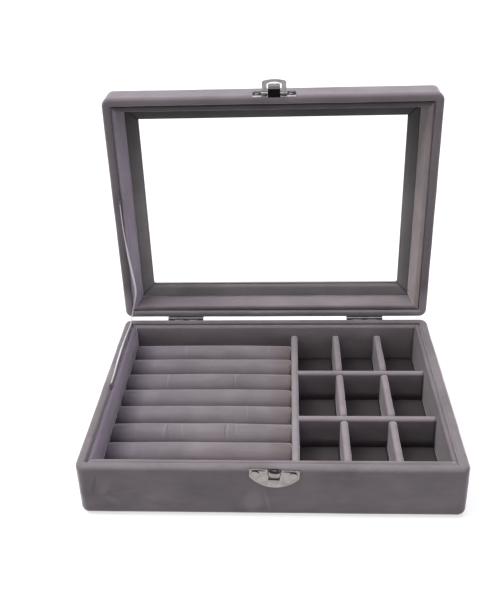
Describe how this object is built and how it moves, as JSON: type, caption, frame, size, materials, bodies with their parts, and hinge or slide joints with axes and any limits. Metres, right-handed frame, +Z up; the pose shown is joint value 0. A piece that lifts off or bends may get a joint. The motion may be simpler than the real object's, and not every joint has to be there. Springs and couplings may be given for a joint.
{
  "type": "jewellery box",
  "caption": "Tabletop velvet jewellery box: hinged lid with a clear window, ring rolls, divided compartments, hasp and catch, and a ribbon stay.",
  "frame": {"origin": "centre of the flat underside, between the middle of the front and back faces", "axes": "+X to the right along the hinge line, +Y to the back (the hinge side), +Z up out of the tray"},
  "size_m": [0.205, 0.1782, 0.1962],
  "materials": {
    "velvet": "short-pile mauve-grey velvet",
    "velvet_padding": "the same velvet over foam and card",
    "velvet_board": "card covered in the same velvet",
    "dark_velvet": "card covered in darker velvet",
    "felt": "thin felt",
    "board": "raw fibreboard, hidden under the velvet",
    "pane": "clear, polished",
    "satin_ribbon": "white satin",
    "nickel_plate": "bright nickel-plated stamped steel"
  },
  "bodies": {
    "base": {"base_wall_front": "board", "base_wall_back": "board", "base_wall_left": "board", "base_wall_right": "board", "base_velvet_cover": "velvet", "base_bottom_board": "board", "base_underside_felt": "felt", "base_liner_front": "velvet_padding", "base_liner_back": "velvet_padding", "base_liner_left": "velvet_padding", "base_liner_right": "velvet_padding", "tray_floor_pad": "velvet_padding", "partition_board": "velvet_board", "grid_divider_long_1": "velvet_board", "grid_divider_long_2": "velvet_board", "grid_divider_cross_1": "velvet_board", "grid_divider_cross_2": "velvet_board", "ring_roll_1": "velvet_padding", "ring_roll_2": "velvet_padding", "ring_roll_3": "velvet_padding", "ring_roll_4": "velvet_padding", "ring_roll_5": "velvet_padding", "ring_roll_6": "velvet_padding", "ring_roll_7": "velvet_padding", "ring_roll_board": "board", "catch_plate": "nickel_plate", "catch_nails": "nickel_plate", "hinge_left_base_leaf": "nickel_plate", "hinge_right_base_leaf": "nickel_plate", "hinge_left_pin": "nickel_plate", "hinge_right_pin": "nickel_plate", "hinge_base_nails": "nickel_plate", "stay_cord": "satin_ribbon", "stay_end_base": "satin_ribbon"},
    "lid": {"lid_wall_front": "board", "lid_wall_back": "board", "lid_wall_left": "board", "lid_wall_right": "board", "lid_velvet_cover": "velvet", "lid_top_frame": "board", "lid_window_pane": "pane", "lid_liner_front": "velvet_padding", "lid_liner_back": "velvet_padding", "lid_liner_left": "velvet_padding", "lid_liner_right": "velvet_padding", "window_facing_front": "dark_velvet", "window_facing_back": "dark_velvet", "window_facing_left": "dark_velvet", "window_facing_right": "dark_velvet", "hinge_left_lid_leaf": "nickel_plate", "hinge_right_lid_leaf": "nickel_plate", "hinge_lid_nails": "nickel_plate", "hasp_plate": "nickel_plate", "hasp_pin": "nickel_plate", "hasp_nails": "nickel_plate", "stay_end_lid": "satin_ribbon"},
    "hasp": {"hasp_loop": "nickel_plate"}
  },
  "joints": [
    {"name": "lid_hinge", "type": "hinge", "parent": "base", "child": "lid", "pos_m": [0, 0.07795, 0.03215], "axis": [1, 0, 0], "range_deg": [-52, 88], "deforming": ["stay_cord", "stay_end_base", "stay_end_lid"]},
    {"name": "hasp_hinge", "type": "hinge", "parent": "lid", "child": "hasp", "pos_m": [0.002, 0.07386, 0.18795], "axis": [1, 0, 0], "range_deg": [-70, 88]}
  ]
}
